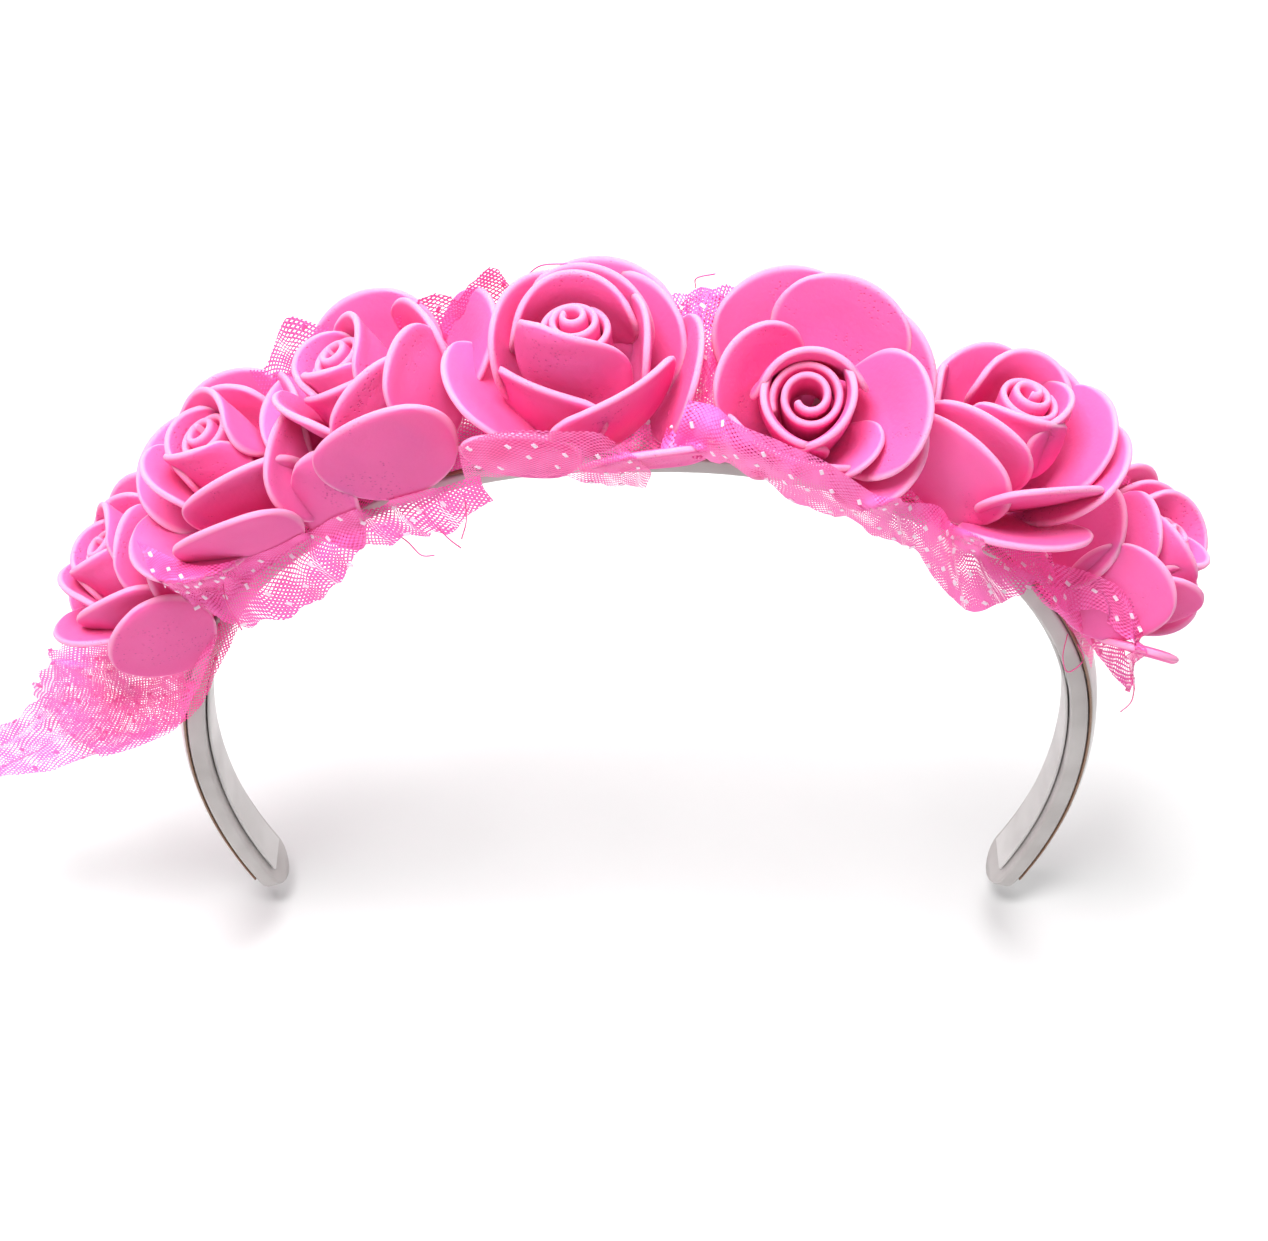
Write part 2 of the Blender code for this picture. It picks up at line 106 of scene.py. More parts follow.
def petal_surface(petal, across, up):
    """Points of a petal's middle surface, for across and up in the unit disc.

    turn: degrees about the stem. reach and rise: radius and height of its middle. slope: of its face there,
    0 for a flat petal and 90 for an upright one. bend: how much steeper its tip is than its foot. cup: how
    far each side curves in, in degrees. spin: turn in its own face. shift: how far it lies to one side.
    narrow: how much narrower its foot is.
    """
    spin = math.radians(petal["spin"])
    wide, high = across * petal["width"], up * petal["length"]
    across = (wide * math.cos(spin) - high * math.sin(spin)) / petal["width"]
    up = (wide * math.sin(spin) + high * math.cos(spin)) / petal["length"]
    steps = 40
    line = np.linspace(-1.6, 1.6, 2 * steps + 1)
    slopes = np.radians(petal["slope"] + petal["bend"] * line / 2)
    step = petal["length"] * 0.8 / steps
    r_line = np.concatenate(([0.0], np.cumsum(np.cos((slopes[1:] + slopes[:-1]) / 2)))) * step
    z_line = np.concatenate(([0.0], np.cumsum(np.sin((slopes[1:] + slopes[:-1]) / 2)))) * step
    r = petal["reach"] + np.interp(up, line, r_line - r_line[steps])
    z = petal["rise"] + np.interp(up, line, z_line - z_line[steps])
    slope = np.interp(up, line, slopes)
    narrow = 1.0 - petal["narrow"] * np.clip((1.0 - up) / 2, 0.0, 1.2) ** 1.6
    bend = math.radians(petal["cup"]) * (0.6 + 0.2 * (1.0 + up)) * across * narrow
    radius = petal["width"] / 2 / math.radians(petal["cup"]) / (0.6 + 0.2 * (1.0 + up))
    lateral = radius * np.sin(bend)
    inward = radius * (1.0 - np.cos(bend))
    rim = np.sqrt(across ** 2 + up ** 2)
    inward = inward - RIM_CURL * ease(rim, 0.6, 1.0)
    azimuth = math.radians(petal["turn"])
    radial = np.array((math.cos(azimuth), math.sin(azimuth), 0.0))
    lateral = lateral + petal["shift"]
    side = np.array((-math.sin(azimuth), math.cos(azimuth), 0.0))
    return (radial * (r - inward * np.sin(slope))[..., None] + side * lateral[..., None]
            + np.array((0.0, 0.0, 1.0)) * (z + inward * np.cos(slope))[..., None])


def bud_surface(bud, share, up):
    """Points of the rolled strip. share runs from its middle to its loose end, up from foot to top."""
    turn, foot_z, top, turns, inner, outer, drop, taper = bud
    angle = math.radians(turn) + 2 * math.pi * turns * share
    radius = inner + (outer - inner) * share
    high = top - drop * share ** 1.5
    z = foot_z + (high - foot_z) * up
    radius = radius * (1.0 + taper * (1.0 - up) * (0.3 + 0.7 * share)) + 0.5 * share * ease(up, 0.75, 1.0)
    return np.stack((radius * np.cos(angle), radius * np.sin(angle), z), -1)


def petal(turn, reach, rise, slope, length=22, width=25, cup=24, bend=30, spin=0, shift=0, narrow=0.25):
    return dict(turn=turn, reach=reach, rise=rise, slope=slope, length=length, width=width, cup=cup,
                bend=bend, spin=spin, shift=shift, narrow=narrow)


def wrap(turn, reach, rise, length=14, width=20, spin=0):
    """A petal rolled round the bud."""
    return petal(turn, reach, rise, 88, length, width, cup=95, bend=18, spin=spin, narrow=0.15)


def bud(turn=0, top=21, turns=2.4, inner=0.9, outer=4.6, drop=2.5, taper=0.12):
    return (turn, 8.0, top, turns, inner, outer, drop, taper)


ROSES = (
    dict(bud=bud(20, 20),
         inner=(wrap(262, 5.6, 14, width=22), wrap(35, 6.2, 15, length=15, width=24), wrap(150, 5, 14)),
         middle=(petal(262, 9.0, 8.5, 70, 17, 23, cup=40), petal(205, 7.7, 12, 80, 17, 20, cup=45),
                 petal(350, 7.6, 11, 80, 19, 20, cup=45), petal(90, 8.5, 11, 75, 18, 20, cup=45)),
         outer=(petal(278, 11.7, 3.2, 68, 19, 24, spin=26), petal(350, 10.5, 7.5, 66, 21, 22),
                petal(80, 11, 10, 62, 20, 23), petal(150, 11, 7, 50, 20, 22), petal(212, 10.5, 9, 42, 18, 18))),
    dict(bud=bud(60, 20.5),
         inner=(wrap(250, 5.6, 14.5, width=21), wrap(50, 6.2, 15.5, length=15, width=24), wrap(150, 5, 14.5)),
         middle=(petal(278, 9.4, 9, 68, 20, 25, cup=35, shift=2.5), petal(200, 8.6, 13, 75, 17, 20, cup=40),
                 petal(90, 8.5, 11, 75, 17, 20, cup=45)),
         outer=(petal(268, 13, 6, 64, 19, 25), petal(208, 13.5, 5.0, 30, 22, 26),
                petal(95, 10.5, 9, 62, 20, 25), petal(340, 14, 8, 80, 19, 20), petal(150, 12, 7, 50),
                petal(30, 11, 7, 58, 20, 23))),
    dict(bud=bud(100, 21),
         inner=(wrap(258, 6.8, 13, length=12, width=21), wrap(250, 5.0, 16, length=11, width=18),
                wrap(25, 6.3, 15.5, length=14, width=24), wrap(160, 5.6, 15)),
         middle=(petal(305, 9.5, 10.5, 78, 19, 21, cup=35), petal(40, 11.5, 8.5, 66, 18, 20),
                 petal(215, 9.2, 12, 72, 18, 21, cup=40)),
         outer=(petal(275, 12.2, 6.4, 74, 21, 26, shift=1.5), petal(340, 12.2, 9.8, 82, 20, 19),
                petal(95, 11.8, 8.6, 62, 22, 26),
                petal(258, 12.6, 1.5, 84, 27, 12, cup=24, spin=-34, shift=-11.5),
                petal(30, 15.5, 5, 28, 20, 22), petal(165, 12, 7, 50))),
    dict(bud=bud(140, 22, turns=2.8, outer=5.2, drop=4.0),
         inner=(wrap(262, 6.2, 14.2, length=17, width=25, spin=-36), wrap(95, 7.7, 14.5, length=17, width=27)),
         middle=(petal(236, 9.6, 9.2, 80, 15, 24, cup=50), petal(307, 11.0, 8.0, 72, 15, 28, cup=46),
                 petal(15, 10, 10.5, 78, 19, 20, cup=50), petal(140, 9.6, 11.5, 76, 21, 26, cup=55),
                 petal(78, 8.6, 12, 78, 21, 26, cup=55)),
         outer=(petal(262, 12.8, 4.0, 72, 14, 21, shift=-7.5, cup=15),
                petal(273, 12.5, 2.0, 53, 14, 23, shift=9, cup=8, bend=8), petal(2, 15, 5, 62, 21, 22),
                petal(190, 13.5, 7, 46, 21, 23), petal(72, 11.5, 6.5, 52, 24, 28),
                petal(50, 12, 6, 60, 22, 25))),
    dict(bud=bud(200, 21.5, turns=2.0, inner=1.9, outer=5.2),
         inner=(wrap(90, 6.4, 15.4, width=24), wrap(330, 6.1, 15, width=24), wrap(210, 6.4, 14.5, width=22)),
         middle=(petal(145, 9, 10, 54, 20, 21, cup=40), petal(350, 10.8, 11, 42, 22, 23, cup=35),
                 petal(245, 8.8, 11, 82, 17, 26, cup=50), petal(310, 9.0, 12, 50, 12, 13)),
         outer=(petal(104, 12.5, 6.5, 26, 23, 25), petal(64, 11.5, 8, 32, 23, 25), petal(30, 12, 6, 36, 22, 23),
                petal(324, 12, 6.5, 38, 20, 20), petal(190, 9.5, 5, 55, 16, 18))),
    dict(bud=bud(250, 21.5),
         inner=(wrap(262, 6.2, 14, width=22), wrap(85, 6.6, 16, length=15, width=23), wrap(350, 6, 15)),
         middle=(petal(240, 10.5, 12, 76, 20, 22, cup=30, shift=-3), petal(10, 10.6, 9.5, 60, 21, 23),
                 petal(290, 12, 8.5, 53, 17, 24, cup=15)),
         outer=(petal(234, 13.5, 8.5, 74, 22, 25, shift=-3.5), petal(350, 12, 6.5, 48, 23, 25),
                petal(285, 13.6, 2.8, 28, 17.5, 25), petal(110, 10.5, 9, 62, 20, 22),
                petal(60, 11, 8, 58, 20, 22), petal(166, 12, 8, 76, 20, 21))),
    dict(bud=bud(300, 20),
         inner=(wrap(236, 6.4, 12.5, length=17, width=24), wrap(70, 6.5, 14.5, length=16, width=24),
                wrap(330, 5.5, 14)),
         middle=(petal(280, 9, 10.5, 76, 17, 18), petal(190, 8.5, 11.5, 80, 18, 18, cup=40),
                 petal(85, 8.6, 12, 76, 17, 20, cup=40)),
         outer=(petal(240, 11.5, 7.5, 78, 21, 19), petal(296, 13, 4, 46, 15, 14, cup=12),
                petal(110, 10.5, 10, 66, 20, 21), petal(180, 11, 7, 72, 20, 20), petal(20, 11, 6, 48, 20, 22))),
)
# ---- end of shapes ----


# ---- mesh helpers ----

def mesh_object(name, points, faces, material, uv=None, values=None):
    """An object from points in millimetres. uv and values hold one entry for each point."""
    mesh = bpy.data.meshes.new(name)
    mesh.from_pydata((np.asarray(points) * MM).tolist(), [], faces)
    if uv is not None:
        layer = mesh.uv_layers.new(name="UVMap")
        corners = np.empty(len(mesh.loops), np.int32)
        mesh.loops.foreach_get("vertex_index", corners)
        layer.data.foreach_set("uv", (np.asarray(uv)[corners] * MM).astype(np.float32).ravel())
    for key, column in (values or {}).items():
        attribute = mesh.attributes.new(key, "FLOAT", "POINT")
        attribute.data.foreach_set("value", np.asarray(column, np.float32))
    mesh.materials.append(material)
    mesh.shade_smooth()
    piece = bpy.data.objects.new(name, mesh)
    bpy.context.scene.collection.objects.link(piece)
    return piece


def unit(vectors):
    return vectors / np.maximum(np.linalg.norm(vectors, axis=-1, keepdims=True), 1e-9)


def normals(surface):
    """The unit normal at each point of a grid of points."""
    return unit(np.cross(np.gradient(surface, axis=0), np.gradient(surface, axis=1)))


def grid_faces(rows, columns, start=0, flip=False, wrap=False):
    faces = []
    for i in range(rows - 1):
        for j in range(columns if wrap else columns - 1):
            after = (j + 1) % columns
            quad = (start + i * columns + j, start + (i + 1) * columns + j,
                    start + (i + 1) * columns + after, start + i * columns + after)
            faces.append(quad[::-1] if flip else quad)
    return faces


def rim_loop(rows, columns, start=0):
    """The outer points of a grid, in order."""
    loop = [start + j for j in range(columns)]
    loop += [start + i * columns + columns - 1 for i in range(1, rows)]
    loop += [start + (rows - 1) * columns + j for j in range(columns - 2, -1, -1)]
    return loop + [start + i * columns for i in range(rows - 2, 0, -1)]


def slab(surface, thickness, rim_share=0.7):
    """Points and faces of a closed sheet of foam round a grid of middle points, thinner along its rim."""
    rows, columns = surface.shape[:2]
    half = np.full((rows, columns, 1), thickness / 2)
    half[0] = half[-1] = thickness / 2 * rim_share
    half[:, 0] = half[:, -1] = thickness / 2 * rim_share
    offset = normals(surface) * half
    points = np.concatenate([(surface + offset).reshape(-1, 3), (surface - offset).reshape(-1, 3)])
    count = rows * columns
    faces = grid_faces(rows, columns) + grid_faces(rows, columns, count, flip=True)
    upper, lower = rim_loop(rows, columns), rim_loop(rows, columns, count)
    for i in range(len(upper)):
        j = (i + 1) % len(upper)
        faces.append((upper[j], upper[i], lower[i], lower[j]))
    edge = np.zeros((rows, columns))
    edge[0] = edge[-1] = edge[:, 0] = edge[:, -1] = 1.0
    return points, faces, np.concatenate([edge.ravel(), edge.ravel()])


def joined(parts):
    """One list of points, faces and rim values from several."""
    points, faces, rim, start = [], [], [], 0
    for part_points, part_faces, part_rim in parts:
        points.append(part_points)
        faces += [tuple(start + i for i in face) for face in part_faces]
        rim.append(part_rim)
        start += len(part_points)
    return np.concatenate(points), faces, np.concatenate(rim)


def outward(piece):
    """Turns every closed body's faces outwards."""
    mesh = bmesh.new()
    mesh.from_mesh(piece.data)
    bmesh.ops.recalc_face_normals(mesh, faces=mesh.faces)
    mesh.to_mesh(piece.data)
    mesh.free()


def finished(piece, slot, *nodes):
    """Seats a piece on the body and hides the given parts of model.glb."""
    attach(piece, BODY)
    if nodes:
        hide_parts(*nodes)
    return piece


def rounded(points, radius, steps=4):
    """A closed outline with its corners rounded."""
    outline, count = [], len(points)
    for i in range(count):
        before, corner, after = (Vector(points[(i + k) % count]) for k in (-1, 0, 1))
        reach = min(radius, (before - corner).length / 2.2, (after - corner).length / 2.2)
        first = corner + (before - corner).normalized() * reach
        last = corner + (after - corner).normalized() * reach
        for k in range(steps + 1):
            t = k / steps
            outline.append(first * (1 - t) ** 2 + corner * 2 * t * (1 - t) + last * t ** 2)
    return [tuple(p) for p in outline]


# ---- materials ----

def node(tree, kind, inputs=None, **settings):
    made = tree.nodes.new(kind)
    for key, value in settings.items():
        setattr(made, key, value)
    for key, value in (inputs or {}).items():
        if isinstance(value, bpy.types.NodeSocket):
            tree.links.new(value, made.inputs[key])
        else:
            made.inputs[key].default_value = value
    return made


def group(name, inputs, outputs):
    """A shader node group with named inputs and outputs, and its two end nodes."""
    tree = bpy.data.node_groups.new(name, "ShaderNodeTree")
    for key, kind, value in inputs:
        socket = tree.interface.new_socket(name=key, in_out="INPUT", socket_type=kind)
        if value is not None:
            socket.default_value = value
    for key, kind in outputs:
        tree.interface.new_socket(name=key, in_out="OUTPUT", socket_type=kind)
    return tree, tree.nodes.new("NodeGroupInput"), tree.nodes.new("NodeGroupOutput")


def math_node(tree, operation, first, second=None):
    inputs = {0: first} if second is None else {0: first, 1: second}
    return node(tree, "ShaderNodeMath", inputs, operation=operation).outputs[0]


def noise(tree, place, scale, detail):
    made = node(tree, "ShaderNodeTexNoise", {"Vector": place, "Scale": scale, "Detail": detail})
    return made.outputs[0]


def spread(tree, value, low, high, new_low=0.0, new_high=1.0):
    """The value with low to high stretched over new_low to new_high, and clipped there."""
    made = node(tree, "ShaderNodeMapRange", {0: value, 1: low, 2: high, 3: new_low, 4: new_high})
    return made.outputs[0]


def mix_colour(tree, share, first, second):
    """Each of the two is a socket or a plain red, green and blue."""
    first, second = (c + (1.0,) if isinstance(c, tuple) else c for c in (first, second))
    return node(tree, "ShaderNodeMix", {0: share, 6: first, 7: second}, data_type="RGBA").outputs[2]


def pores_group():
    """Fine pits and a slow unevenness: a height for bump, a pit mask that the foam uses for painted shade, and a
    mottle for colour.
    """
    tree, start, end = group(
        "pores", [("Vector", "NodeSocketVector", None), ("Pore Size", "NodeSocketFloat", 0.0005),
                  ("Depth", "NodeSocketFloat", 1.0)],
        [("Height", "NodeSocketFloat"), ("Pits", "NodeSocketFloat"), ("Mottle", "NodeSocketFloat")])
    density = math_node(tree, "DIVIDE", 1.0, start.outputs["Pore Size"])
    place = start.outputs["Vector"]
    cells = node(tree, "ShaderNodeTexVoronoi", {"Vector": place, "Scale": density})
    patches = noise(tree, place, math_node(tree, "DIVIDE", density, 14.0), 2.0)
    deep = spread(tree, cells.outputs["Distance"], 0.28, 0.05)
    pits = math_node(tree, "MULTIPLY", deep, spread(tree, patches, 0.55, 0.63))
    grain = math_node(tree, "MULTIPLY", noise(tree, place, density, 3.0), 0.35)
    height = math_node(tree, "SUBTRACT", grain, pits)
    tree.links.new(math_node(tree, "MULTIPLY", height, start.outputs["Depth"]), end.inputs["Height"])
    tree.links.new(pits, end.inputs["Pits"])
    tree.links.new(noise(tree, place, 90.0, 2.0), end.inputs["Mottle"])
    return tree


def weave_group():
    """Open net: threads that cross at two slants, over coordinates in metres."""
    tree, start, end = group(
        "open_net", [("Vector", "NodeSocketVector", None), ("Cell", "NodeSocketFloat", 0.0009),
                     ("Thread", "NodeSocketFloat", 0.3)],
        [("Threads", "NodeSocketFloat"), ("Knots", "NodeSocketFloat")])
    flat = start.outputs["Vector"]
    warped = node(tree, "ShaderNodeTexNoise", {"Vector": flat, "Scale": 160.0, "Detail": 1.0})
    shifted = node(tree, "ShaderNodeVectorMath", {0: warped.outputs["Color"], 3: 0.0012}, operation="SCALE")
    place = node(tree, "ShaderNodeVectorMath", {0: flat, 1: shifted.outputs[0]}, operation="ADD")
    parts = node(tree, "ShaderNodeSeparateXYZ", {0: place.outputs[0]})
    closeness = spread(tree, noise(tree, flat, 210.0, 2.0), 0.35, 0.65, 0.35, 0.8)
    half = math_node(tree, "MULTIPLY", start.outputs["Thread"], closeness)
    lines = []
    for slant in (1.0, -1.0):
        leaning = math_node(tree, "ADD", math_node(tree, "MULTIPLY", parts.outputs["X"], 0.82),
                            math_node(tree, "MULTIPLY", parts.outputs["Y"], 0.57 * slant))
        turns = math_node(tree, "DIVIDE", leaning, start.outputs["Cell"])
        saw = math_node(tree, "PINGPONG", turns, 0.5)
        lines.append(math_node(tree, "LESS_THAN", saw, half))
    tree.links.new(math_node(tree, "MAXIMUM", *lines), end.inputs["Threads"])
    tree.links.new(math_node(tree, "MULTIPLY", *lines), end.inputs["Knots"])
    return tree


PORES = pores_group()
OPEN_NET = weave_group()
NET_CELL = 0.0006


def material(name):
    made = bpy.data.materials.new(name)
    made.use_nodes = True
    return made, made.node_tree, made.node_tree.nodes["Principled BSDF"]


def object_place(tree):
    return node(tree, "ShaderNodeTexCoord").outputs["Object"]


def pored(tree, size, depth=1.0):
    return placed_group(tree, PORES, vector=object_place(tree), pore_size=size, depth=depth).outputs


def placed_group(tree, shared, **inputs):
    made = node(tree, "ShaderNodeGroup", node_tree=shared)
    for key, value in inputs.items():
        socket = made.inputs[key.replace("_", " ").title()]
        if isinstance(value, bpy.types.NodeSocket):
            tree.links.new(value, socket)
        else:
            socket.default_value = value
    return made


def bump(tree, shader, height, strength, distance):
    made = node(tree, "ShaderNodeBump", {"Height": height, "Strength": strength, "Distance": distance})
    tree.links.new(made.outputs[0], shader.inputs["Normal"])


def foam_material(name, face, rim):
    """Matte foam sheet: small pits with painted shade in them, a slow unevenness and a painted highlight along its
    rim.
    """
    made, tree, shader = material(name)
    pores = pored(tree, 0.0007)
    edge = spread(tree, node(tree, "ShaderNodeAttribute", attribute_name="rim").outputs["Fac"], 0.35, 0.9)
    deep = tuple(c * 0.82 for c in face)
    # Painted shade in the pits: the face colour darkened to 0.6 of itself.
    pit_shade = tuple(c * 0.6 for c in face)
    base = mix_colour(tree, math_node(tree, "MULTIPLY", pores["Mottle"], 0.45), face, deep)
    with_pit_shade = mix_colour(tree, math_node(tree, "MULTIPLY", pores["Pits"], 0.8), base, pit_shade)
    # The rim colour is a painted highlight along each petal's edge.
    tree.links.new(mix_colour(tree, edge, with_pit_shade, rim), shader.inputs["Base Color"])
    tree.links.new(spread(tree, pores["Mottle"], 0.3, 0.7, 0.58, 0.74), shader.inputs["Roughness"])
    shader.inputs["Specular IOR Level"].default_value = 0.22
    shader.inputs["Subsurface Weight"].default_value = 0.38
    shader.inputs["Subsurface Radius"].default_value = (0.004, 0.0014, 0.0028)
    shader.inputs["Subsurface Scale"].default_value = 0.6
    bump(tree, shader, pores["Height"], 0.6, 0.0003)
    return made


def plastic_material(name, colour, dull, roughness):
    """Moulded plastic, handled: slightly uneven gloss and a greyer tone in places."""
    made, tree, shader = material(name)
    pores = pored(tree, 0.0004, 0.5)
    share = spread(tree, pores["Mottle"], 0.35, 0.7)
    tree.links.new(mix_colour(tree, share, colour, dull), shader.inputs["Base Color"])
    gloss = spread(tree, pores["Mottle"], 0.3, 0.7, roughness - 0.06, roughness + 0.12)
    tree.links.new(gloss, shader.inputs["Roughness"])
    bump(tree, shader, pores["Height"], 0.12, 0.0001)
    return made


def glue_material(name, colour, dark):
    """Dried glue: shiny, with painted shade in its low spots."""
    made, tree, shader = material(name)
    height = pored(tree, 0.0011)["Height"]
    # Painted shade: the glue turns to its dark colour where its pitted surface is low.
    share = spread(tree, height, -0.2, 0.3, 1.0, 0.0)
    tree.links.new(mix_colour(tree, share, colour, dark), shader.inputs["Base Color"])
    shader.inputs["Roughness"].default_value = 0.3
    bump(tree, shader, height, 0.5, 0.0003)
    return made


def net_material(name, colour, thread):
    """Open net of fine shiny threads, clear between them. thread: a thread's share of its cell."""
    made, tree, shader = material(name)
    place = node(tree, "ShaderNodeUVMap", uv_map="UVMap").outputs[0]
    weave = placed_group(tree, OPEN_NET, vector=place, cell=NET_CELL, thread=thread)
    pale = tuple(min(1.0, c * 1.15 + 0.05) for c in colour)
    threads = mix_colour(tree, weave.outputs["Knots"], colour, pale)
    tree.links.new(threads, shader.inputs["Base Color"])
    tree.links.new(weave.outputs["Threads"], shader.inputs["Alpha"])
    # Thin threads pass light on to their shaded side; a faint glow of their own colour stands for it.
    tree.links.new(threads, shader.inputs["Emission Color"])
    shader.inputs["Emission Strength"].default_value = 0.13
    shader.inputs["Roughness"].default_value = 0.42
    bump(tree, shader, weave.outputs["Knots"], 0.4, 0.0002)
    return made


def dot_material(name, colour, roughness):
    """The thicker thread that the dots are woven with."""
    made, tree, shader = material(name)
    pores = pored(tree, 0.0003)
    lighter = tuple(min(1.0, c * 1.1 + 0.03) for c in colour)
    tree.links.new(mix_colour(tree, pores["Mottle"], colour, lighter), shader.inputs["Base Color"])
    shader.inputs["Roughness"].default_value = roughness
    bump(tree, shader, pores["Height"], 0.3, 0.0001)
    return made


# Second colour of each foam: a painted highlight on the petal rims.
FOAM = foam_material("pink_foam", (0.90, 0.140, 0.415), (0.94, 0.33, 0.55))
# The bud's foam is a deeper, darker copy of the petals' foam: painted shade of the rose's hollow.
FOAM_BUD_PAINTED_SHADE = foam_material("pink_foam_bud_painted_shade", (0.90, 0.125, 0.39), (0.94, 0.31, 0.53))
WHITE = plastic_material("white_plastic", (0.86, 0.845, 0.84), (0.70, 0.68, 0.67), 0.34)
# The core is white plastic like the outer strip; its grey colours are painted shade.
CORE_PAINTED_SHADE = plastic_material("white_plastic_painted_shade", (0.56, 0.53, 0.52), (0.44, 0.41, 0.40), 0.40)
LINING = plastic_material("lining_plastic", (0.72, 0.70, 0.69), (0.62, 0.60, 0.59), 0.45)
OLD_GLUE = glue_material("dried_glue", (0.30, 0.16, 0.09), (0.12, 0.06, 0.035))
CLEAR_GLUE = glue_material("glue_pad", (0.80, 0.62, 0.66), (0.62, 0.42, 0.48))
STEM = plastic_material("stem_plastic", (0.62, 0.66, 0.60), (0.5, 0.55, 0.48), 0.4)
NET = net_material("pink_net", (0.92, 0.105, 0.40), 0.38)
NET_DENSE = net_material("pink_net_gathered", (0.91, 0.10, 0.41), 0.48)
NET_DOUBLE = net_material("pink_net_in_two_layers", (0.90, 0.10, 0.40), 0.62)
# Painted highlight: the pale colour of these dots stands for the light that the pink thread catches.
DOT_PAINTED_HIGHLIGHT = dot_material("dots_painted_highlight", (0.98, 0.68, 0.83), 0.3)
DOT_PINK = dot_material("pink_dots", (0.93, 0.09, 0.36), 0.45)


# ---- band ----

CORE_SECTION = rounded([(0.8, -5.25), (3.9, -5.25), (3.9, 5.25), (0.8, 5.25)], 0.55)
STRIP_SECTION = rounded(
    [(4.2, -4.5), (4.9, -4.5), (5.65, -2.6), (5.95, 0.0), (5.65, 2.6), (4.9, 4.5), (4.2, 4.5)], 0.45, 3)
LINING_SECTION = rounded([(0.0, -3.5), (0.5, -3.5), (0.5, 3.5), (0.0, 3.5)], 0.2, 2)
SEAM_SECTION = rounded([(4.05, 4.55), (4.15, 5.15), (4.5, 5.0), (4.7, 4.6)], 0.15, 2)
TIP_ROUND = 5.0
TIP_MARGIN = 1.0
STATIONS = 150


def band_piece(name, section, end, material, slot, cad_node, tip_round=0.0, waver=0.0, sign=1.0):
    """A section swept along both arms up to end, with its tips rounded over tip_round."""
    rings = []
    inner = np.linspace(-end + tip_round, end - tip_round, STATIONS)
    turns = np.linspace(0.0, math.pi / 2, 7)[1:]
    ends = [end - tip_round + tip_round * math.sin(a) for a in turns] if tip_round else []
    alongs = [-s for s in reversed(ends)] + list(inner) + ends
    rng = np.random.default_rng(SEED)
    drift = np.interp(np.arange(len(alongs)), np.linspace(0, len(alongs) - 1, 60), rng.uniform(-1, 1, 60))
    for i, along in enumerate(alongs):
        past = max(0.0, abs(along) - (end - tip_round))
        width = math.sqrt(max(0.02, 1.0 - (past / tip_round) ** 2)) if tip_round else 1.0
        ring = []
        for out, y in section:
            x, z, _ = arch(along, out)
            ring.append((x, sign * y * width + waver * drift[i], z))
        rings.append(ring)
    count = len(section)
    points = np.array(rings).reshape(-1, 3)
    faces = grid_faces(len(rings), count, wrap=True)
    faces.append(tuple(range(count)))
    faces.append(tuple((len(rings) - 1) * count + i for i in reversed(range(count))))
    piece = mesh_object(name, points, faces, material)
    outward(piece)
    piece.data.set_sharp_from_angle(angle=math.radians(50))
    return finished(piece, slot, cad_node)


strip_end = ARM - TIP_ROUND - TIP_MARGIN
band_piece("headband_core", CORE_SECTION, ARM, CORE_PAINTED_SHADE, "white_plastic", "band_core", TIP_ROUND)
band_piece("headband_outer_strip", STRIP_SECTION, strip_end, WHITE, "white_plastic", "outer_strip")
band_piece("headband_lining", LINING_SECTION, strip_end, LINING, "inner_plastic", "inner_lining")
for side, sign in (("front", -1.0), ("back", 1.0)):
    band_piece(f"glue_line_{side}", SEAM_SECTION, strip_end, OLD_GLUE, "dried_glue", f"glue_seam_{side}",
               waver=0.05, sign=sign)


# ---- roses ----

PETAL_THICK = 1.35
BUD_THICK = 1.3
PETAL_GRID = 13
BUD_GRID = (72, 9)
FOAM_PIECES = []


def disc_grid(count):
    """Across and up for a square grid pressed into the unit disc."""
    line = np.linspace(-1.0, 1.0, count)
    u, v = np.meshgrid(line, line, indexing="ij")
    return u * np.sqrt(1 - v * v / 2), v * np.sqrt(1 - u * u / 2)


def ruffled(surface, rng):
    """A slight random unevenness, as hand-pressed foam has."""
    count = surface.shape[0]
    line = np.linspace(-1.0, 1.0, count)
    u, v = np.meshgrid(line, line, indexing="ij")
    amounts = rng.uniform(-0.32, 0.32, 4)
    shift = amounts[0] * u * v + amounts[1] * (u * u - v * v) / 2 + amounts[2] * u ** 3 + amounts[3] * v ** 3
    return surface + normals(surface) * shift[..., None]


def foam_piece(name, parts, origin, axes, material, slot, cad_node):
    points, faces, rim = joined(parts)
    piece = mesh_object(name, points @ axes.T + origin, faces, material, values={"rim": rim})
    outward(piece)
    smooth = piece.modifiers.new("smooth", "SUBSURF")
    smooth.levels = smooth.render_levels = 1
    FOAM_PIECES.append(piece)
    return finished(piece, slot, cad_node)


def rose(number, seat, whorls):
    origin, axes = seat_frame(seat)
    rng = np.random.default_rng(SEED + number)
    across, up = disc_grid(PETAL_GRID)
    for whorl in ("outer", "middle", "inner"):
        parts = [slab(ruffled(petal_surface(shape, across, up), rng), PETAL_THICK) for shape in whorls[whorl]]
        foam_piece(f"rose_{number}_{whorl}_foam", parts, origin, axes, FOAM, f"foam_{whorl}",
                   f"rose_{number}_{whorl}_petals")
    share, height = np.meshgrid(np.linspace(0, 1, BUD_GRID[0]), np.linspace(0, 1, BUD_GRID[1]), indexing="ij")
    roll = slab(bud_surface(whorls["bud"], share, height), BUD_THICK, 0.8)
    foam_piece(f"rose_{number}_rolled_bud", [roll], origin, axes, FOAM_BUD_PAINTED_SHADE, "foam_bud", f"rose_{number}_bud")


for index, (seat, whorls) in enumerate(zip(SEATS, ROSES)):
    rose(index + 1, seat, whorls)

